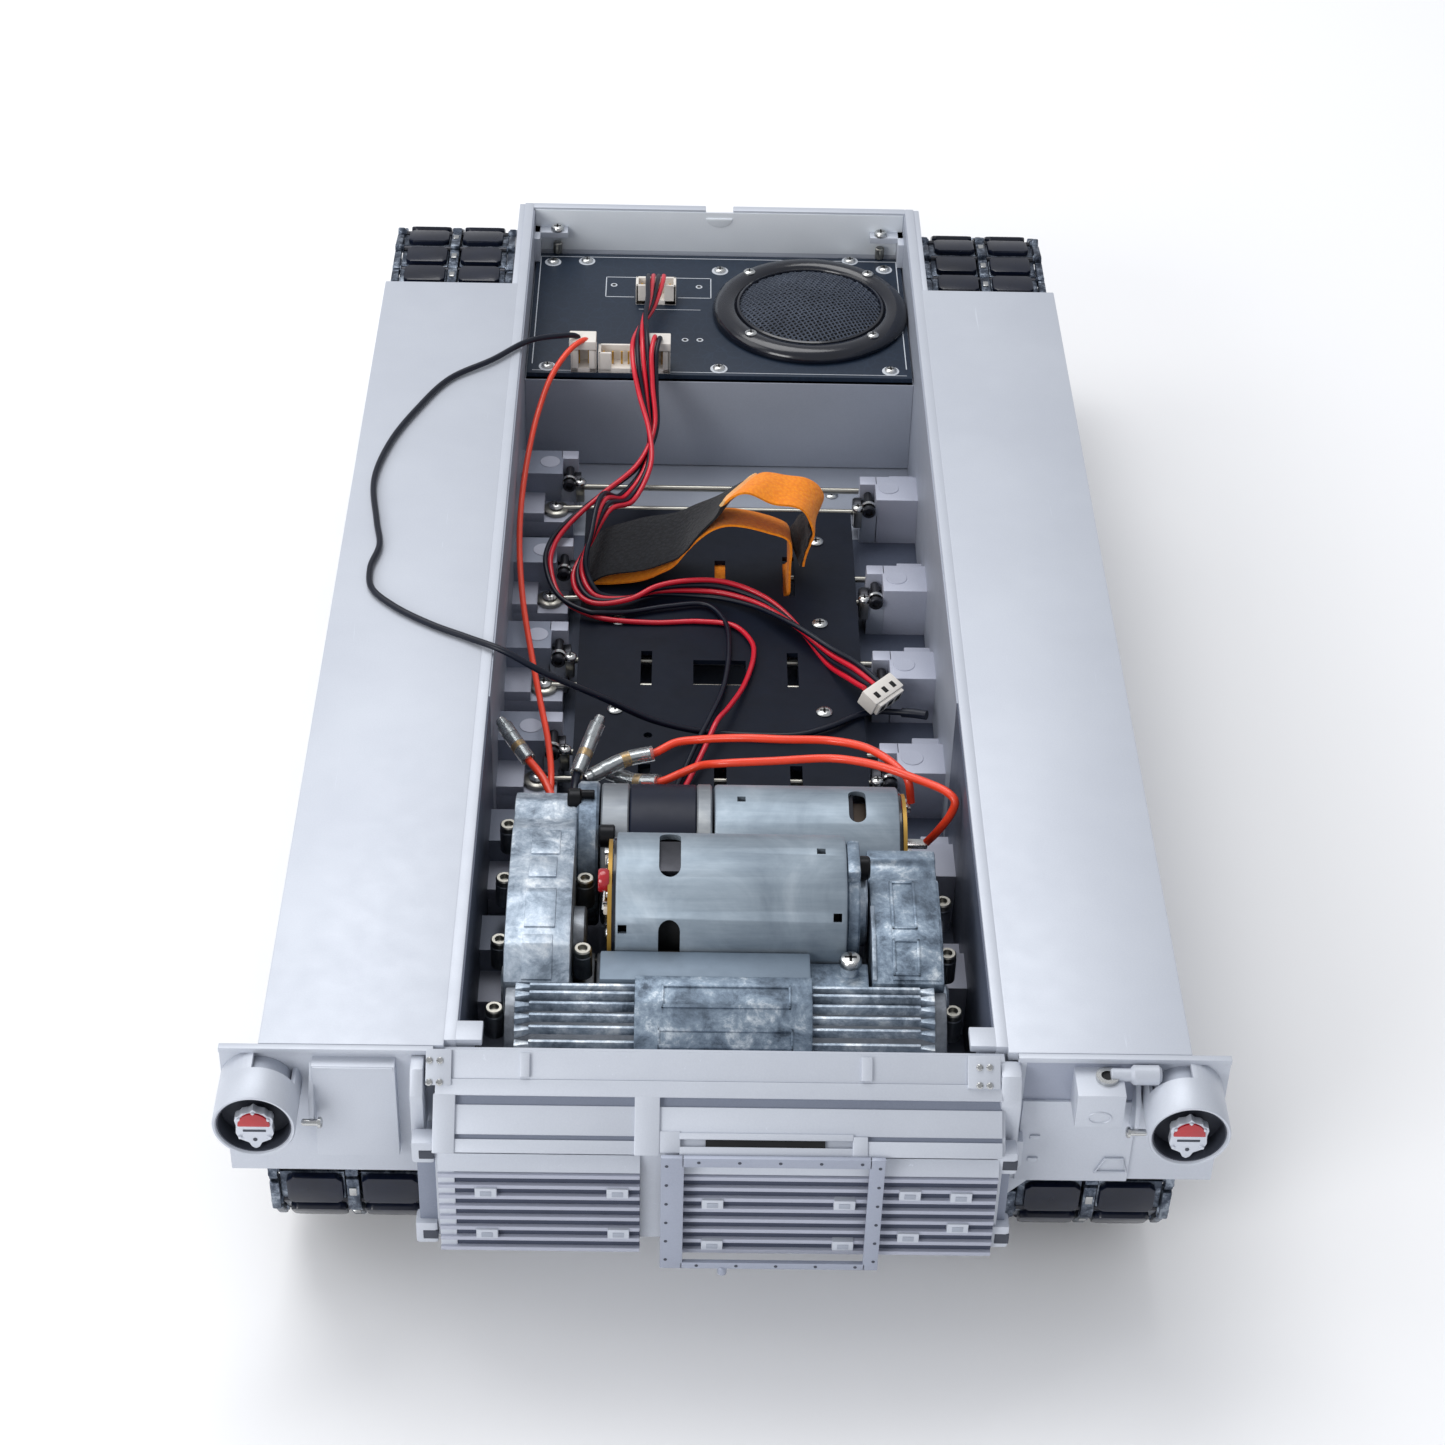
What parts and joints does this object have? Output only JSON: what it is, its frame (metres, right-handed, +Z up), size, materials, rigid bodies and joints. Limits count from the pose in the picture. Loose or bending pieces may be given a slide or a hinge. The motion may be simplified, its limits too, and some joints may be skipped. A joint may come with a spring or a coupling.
{
  "type": "tracked tank chassis",
  "caption": "Open tracked chassis of a scale tank: metal tub with side decks, gearbox, two motors, circuit board and sprung road wheels.",
  "frame": {"origin": "middle of the footprint, on the ground under the tracks", "axes": "+X to the right, +Y towards the front idlers, +Z up"},
  "size_m": [0.23, 0.4381, 0.0905],
  "materials": {
    "paint": "semi-matt grey",
    "board": "solder mask",
    "black_plastic": "moulded",
    "casting": "mottled die casting",
    "motor_can": "galvanised",
    "rubber": "pads on links",
    "dark_metal": "blackened",
    "strap": "woven webbing",
    "wire": "insulated wire"
  },
  "bodies": {
    "chassis": {"hull_tub": "paint", "rear_housing": "paint", "left_grille": "paint", "right_grille": "paint", "exhaust_frame": "paint", "electronics_deck": "paint", "circuit_board": "board", "speaker": "black_plastic", "battery_tray": "black_plastic", "gearbox_left_case": "casting", "gearbox_right_case": "casting", "gearbox_centre_case": "casting", "drive_motor": "motor_can", "steering_motor": "motor_can", "battery_strap": "strap", "power_leads": "wire", "signal_harness": "wire", "motor_leads": "wire", "left_fender": "paint", "left_tail_light": "paint", "left_track": "rubber", "right_fender": "paint", "right_tail_light": "paint", "right_track": "rubber"},
    "left_sprocket": {"left_sprocket": "dark_metal"},
    "left_idler": {"left_idler": "paint"},
    "left_return_roller_1": {"left_return_roller_1": "dark_metal"},
    "left_return_roller_2": {"left_return_roller_2": "dark_metal"},
    "left_arm_1": {"left_arm_1": "dark_metal"},
    "left_wheel_1": {"left_wheel_1": "paint"},
    "left_arm_2": {"left_arm_2": "dark_metal"},
    "left_wheel_2": {"left_wheel_2": "paint"},
    "left_arm_3": {"left_arm_3": "dark_metal"},
    "left_wheel_3": {"left_wheel_3": "paint"},
    "left_arm_4": {"left_arm_4": "dark_metal"},
    "left_wheel_4": {"left_wheel_4": "paint"},
    "left_arm_5": {"left_arm_5": "dark_metal"},
    "left_wheel_5": {"left_wheel_5": "paint"},
    "left_arm_6": {"left_arm_6": "dark_metal"},
    "left_wheel_6": {"left_wheel_6": "paint"},
    "left_arm_7": {"left_arm_7": "dark_metal"},
    "left_wheel_7": {"left_wheel_7": "paint"},
    "right_sprocket": {"right_sprocket": "dark_metal"},
    "right_idler": {"right_idler": "paint"},
    "right_return_roller_1": {"right_return_roller_1": "dark_metal"},
    "right_return_roller_2": {"right_return_roller_2": "dark_metal"},
    "right_arm_1": {"right_arm_1": "dark_metal"},
    "right_wheel_1": {"right_wheel_1": "paint"},
    "right_arm_2": {"right_arm_2": "dark_metal"},
    "right_wheel_2": {"right_wheel_2": "paint"},
    "right_arm_3": {"right_arm_3": "dark_metal"},
    "right_wheel_3": {"right_wheel_3": "paint"},
    "right_arm_4": {"right_arm_4": "dark_metal"},
    "right_wheel_4": {"right_wheel_4": "paint"},
    "right_arm_5": {"right_arm_5": "dark_metal"},
    "right_wheel_5": {"right_wheel_5": "paint"},
    "right_arm_6": {"right_arm_6": "dark_metal"},
    "right_wheel_6": {"right_wheel_6": "paint"},
    "right_arm_7": {"right_arm_7": "dark_metal"},
    "right_wheel_7": {"right_wheel_7": "paint"}
  },
  "joints": [
    {"name": "left_sprocket_spin", "type": "hinge", "parent": "chassis", "child": "left_sprocket", "pos_m": [-0.0872, -0.1725, 0.0345], "axis": [1, 0, 0], "continuous": true},
    {"name": "left_idler_spin", "type": "hinge", "parent": "chassis", "child": "left_idler", "pos_m": [-0.0872, 0.195, 0.0463], "axis": [1, 0, 0], "continuous": true},
    {"name": "left_return_roller_1_spin", "type": "hinge", "parent": "chassis", "child": "left_return_roller_1", "pos_m": [-0.0872, -0.0453, 0.05173], "axis": [1, 0, 0], "continuous": true},
    {"name": "left_return_roller_2_spin", "type": "hinge", "parent": "chassis", "child": "left_return_roller_2", "pos_m": [-0.0872, 0.084, 0.05591], "axis": [1, 0, 0], "continuous": true},
    {"name": "left_arm_1_pivot", "type": "hinge", "parent": "chassis", "child": "left_arm_1", "pos_m": [-0.066, 0.1412, 0.0394], "axis": [1, 0, 0], "range_deg": [0, 14], "stiffness_Nm_per_rad": 0.8, "springref_deg": -2.01},
    {"name": "left_wheel_1_spin", "type": "hinge", "parent": "left_arm_1", "child": "left_wheel_1", "pos_m": [-0.0872, 0.1552, 0.0241], "axis": [1, 0, 0], "continuous": true},
    {"name": "left_arm_2_pivot", "type": "hinge", "parent": "chassis", "child": "left_arm_2", "pos_m": [-0.066, 0.0937, 0.0394], "axis": [1, 0, 0], "range_deg": [0, 14], "stiffness_Nm_per_rad": 0.8, "springref_deg": -2.01},
    {"name": "left_wheel_2_spin", "type": "hinge", "parent": "left_arm_2", "child": "left_wheel_2", "pos_m": [-0.0872, 0.1077, 0.0241], "axis": [1, 0, 0], "continuous": true},
    {"name": "left_arm_3_pivot", "type": "hinge", "parent": "chassis", "child": "left_arm_3", "pos_m": [-0.066, 0.0462, 0.0394], "axis": [1, 0, 0], "range_deg": [0, 14], "stiffness_Nm_per_rad": 0.8, "springref_deg": -2.01},
    {"name": "left_wheel_3_spin", "type": "hinge", "parent": "left_arm_3", "child": "left_wheel_3", "pos_m": [-0.0872, 0.0602, 0.0241], "axis": [1, 0, 0], "continuous": true},
    {"name": "left_arm_4_pivot", "type": "hinge", "parent": "chassis", "child": "left_arm_4", "pos_m": [-0.066, 0.004, 0.0394], "axis": [1, 0, 0], "range_deg": [0, 14], "stiffness_Nm_per_rad": 0.8, "springref_deg": -2.01},
    {"name": "left_wheel_4_spin", "type": "hinge", "parent": "left_arm_4", "child": "left_wheel_4", "pos_m": [-0.0872, 0.018, 0.0241], "axis": [1, 0, 0], "continuous": true},
    {"name": "left_arm_5_pivot", "type": "hinge", "parent": "chassis", "child": "left_arm_5", "pos_m": [-0.066, -0.0382, 0.0394], "axis": [1, 0, 0], "range_deg": [0, 14], "stiffness_Nm_per_rad": 0.8, "springref_deg": -2.01},
    {"name": "left_wheel_5_spin", "type": "hinge", "parent": "left_arm_5", "child": "left_wheel_5", "pos_m": [-0.0872, -0.0242, 0.0241], "axis": [1, 0, 0], "continuous": true},
    {"name": "left_arm_6_pivot", "type": "hinge", "parent": "chassis", "child": "left_arm_6", "pos_m": [-0.066, -0.0804, 0.0394], "axis": [1, 0, 0], "range_deg": [0, 14], "stiffness_Nm_per_rad": 0.8, "springref_deg": -2.01},
    {"name": "left_wheel_6_spin", "type": "hinge", "parent": "left_arm_6", "child": "left_wheel_6", "pos_m": [-0.0872, -0.0664, 0.0241], "axis": [1, 0, 0], "continuous": true},
    {"name": "left_arm_7_pivot", "type": "hinge", "parent": "chassis", "child": "left_arm_7", "pos_m": [-0.066, -0.1226, 0.0394], "axis": [1, 0, 0], "range_deg": [0, 14], "stiffness_Nm_per_rad": 0.8, "springref_deg": -2.01},
    {"name": "left_wheel_7_spin", "type": "hinge", "parent": "left_arm_7", "child": "left_wheel_7", "pos_m": [-0.0872, -0.1086, 0.0241], "axis": [1, 0, 0], "continuous": true},
    {"name": "right_sprocket_spin", "type": "hinge", "parent": "chassis", "child": "right_sprocket", "pos_m": [0.0872, -0.1725, 0.0345], "axis": [1, 0, 0], "continuous": true},
    {"name": "right_idler_spin", "type": "hinge", "parent": "chassis", "child": "right_idler", "pos_m": [0.0872, 0.195, 0.0463], "axis": [1, 0, 0], "continuous": true},
    {"name": "right_return_roller_1_spin", "type": "hinge", "parent": "chassis", "child": "right_return_roller_1", "pos_m": [0.0872, -0.0571, 0.05134], "axis": [1, 0, 0], "continuous": true},
    {"name": "right_return_roller_2_spin", "type": "hinge", "parent": "chassis", "child": "right_return_roller_2", "pos_m": [0.0872, 0.0722, 0.05553], "axis": [1, 0, 0], "continuous": true},
    {"name": "right_arm_1_pivot", "type": "hinge", "parent": "chassis", "child": "right_arm_1", "pos_m": [0.066, 0.1294, 0.0394], "axis": [1, 0, 0], "range_deg": [0, 14], "stiffness_Nm_per_rad": 0.8, "springref_deg": -2.01},
    {"name": "right_wheel_1_spin", "type": "hinge", "parent": "right_arm_1", "child": "right_wheel_1", "pos_m": [0.0872, 0.1434, 0.0241], "axis": [1, 0, 0], "continuous": true},
    {"name": "right_arm_2_pivot", "type": "hinge", "parent": "chassis", "child": "right_arm_2", "pos_m": [0.066, 0.0819, 0.0394], "axis": [1, 0, 0], "range_deg": [0, 14], "stiffness_Nm_per_rad": 0.8, "springref_deg": -2.01},
    {"name": "right_wheel_2_spin", "type": "hinge", "parent": "right_arm_2", "child": "right_wheel_2", "pos_m": [0.0872, 0.0959, 0.0241], "axis": [1, 0, 0], "continuous": true},
    {"name": "right_arm_3_pivot", "type": "hinge", "parent": "chassis", "child": "right_arm_3", "pos_m": [0.066, 0.0344, 0.0394], "axis": [1, 0, 0], "range_deg": [0, 14], "stiffness_Nm_per_rad": 0.8, "springref_deg": -2.01},
    {"name": "right_wheel_3_spin", "type": "hinge", "parent": "right_arm_3", "child": "right_wheel_3", "pos_m": [0.0872, 0.0484, 0.0241], "axis": [1, 0, 0], "continuous": true},
    {"name": "right_arm_4_pivot", "type": "hinge", "parent": "chassis", "child": "right_arm_4", "pos_m": [0.066, -0.0078, 0.0394], "axis": [1, 0, 0], "range_deg": [0, 14], "stiffness_Nm_per_rad": 0.8, "springref_deg": -2.01},
    {"name": "right_wheel_4_spin", "type": "hinge", "parent": "right_arm_4", "child": "right_wheel_4", "pos_m": [0.0872, 0.0062, 0.0241], "axis": [1, 0, 0], "continuous": true},
    {"name": "right_arm_5_pivot", "type": "hinge", "parent": "chassis", "child": "right_arm_5", "pos_m": [0.066, -0.05, 0.0394], "axis": [1, 0, 0], "range_deg": [0, 14], "stiffness_Nm_per_rad": 0.8, "springref_deg": -2.01},
    {"name": "right_wheel_5_spin", "type": "hinge", "parent": "right_arm_5", "child": "right_wheel_5", "pos_m": [0.0872, -0.036, 0.0241], "axis": [1, 0, 0], "continuous": true},
    {"name": "right_arm_6_pivot", "type": "hinge", "parent": "chassis", "child": "right_arm_6", "pos_m": [0.066, -0.0922, 0.0394], "axis": [1, 0, 0], "range_deg": [0, 14], "stiffness_Nm_per_rad": 0.8, "springref_deg": -2.01},
    {"name": "right_wheel_6_spin", "type": "hinge", "parent": "right_arm_6", "child": "right_wheel_6", "pos_m": [0.0872, -0.0782, 0.0241], "axis": [1, 0, 0], "continuous": true},
    {"name": "right_arm_7_pivot", "type": "hinge", "parent": "chassis", "child": "right_arm_7", "pos_m": [0.066, -0.1344, 0.0394], "axis": [1, 0, 0], "range_deg": [0, 14], "stiffness_Nm_per_rad": 0.8, "springref_deg": -2.01},
    {"name": "right_wheel_7_spin", "type": "hinge", "parent": "right_arm_7", "child": "right_wheel_7", "pos_m": [0.0872, -0.1204, 0.0241], "axis": [1, 0, 0], "continuous": true}
  ],
  "couplings": [
    {"joint": "left_idler_spin", "follows": "left_sprocket_spin", "ratio": 0.9949},
    {"joint": "left_return_roller_1_spin", "follows": "left_sprocket_spin", "ratio": 3.0794},
    {"joint": "left_return_roller_2_spin", "follows": "left_sprocket_spin", "ratio": 3.0794},
    {"joint": "left_wheel_1_spin", "follows": "left_sprocket_spin", "ratio": 0.9949},
    {"joint": "left_wheel_2_spin", "follows": "left_sprocket_spin", "ratio": 0.9949},
    {"joint": "left_wheel_3_spin", "follows": "left_sprocket_spin", "ratio": 0.9949},
    {"joint": "left_wheel_4_spin", "follows": "left_sprocket_spin", "ratio": 0.9949},
    {"joint": "left_wheel_5_spin", "follows": "left_sprocket_spin", "ratio": 0.9949},
    {"joint": "left_wheel_6_spin", "follows": "left_sprocket_spin", "ratio": 0.9949},
    {"joint": "left_wheel_7_spin", "follows": "left_sprocket_spin", "ratio": 0.9949},
    {"joint": "right_idler_spin", "follows": "right_sprocket_spin", "ratio": 0.9949},
    {"joint": "right_return_roller_1_spin", "follows": "right_sprocket_spin", "ratio": 3.0794},
    {"joint": "right_return_roller_2_spin", "follows": "right_sprocket_spin", "ratio": 3.0794},
    {"joint": "right_wheel_1_spin", "follows": "right_sprocket_spin", "ratio": 0.9949},
    {"joint": "right_wheel_2_spin", "follows": "right_sprocket_spin", "ratio": 0.9949},
    {"joint": "right_wheel_3_spin", "follows": "right_sprocket_spin", "ratio": 0.9949},
    {"joint": "right_wheel_4_spin", "follows": "right_sprocket_spin", "ratio": 0.9949},
    {"joint": "right_wheel_5_spin", "follows": "right_sprocket_spin", "ratio": 0.9949},
    {"joint": "right_wheel_6_spin", "follows": "right_sprocket_spin", "ratio": 0.9949},
    {"joint": "right_wheel_7_spin", "follows": "right_sprocket_spin", "ratio": 0.9949}
  ]
}
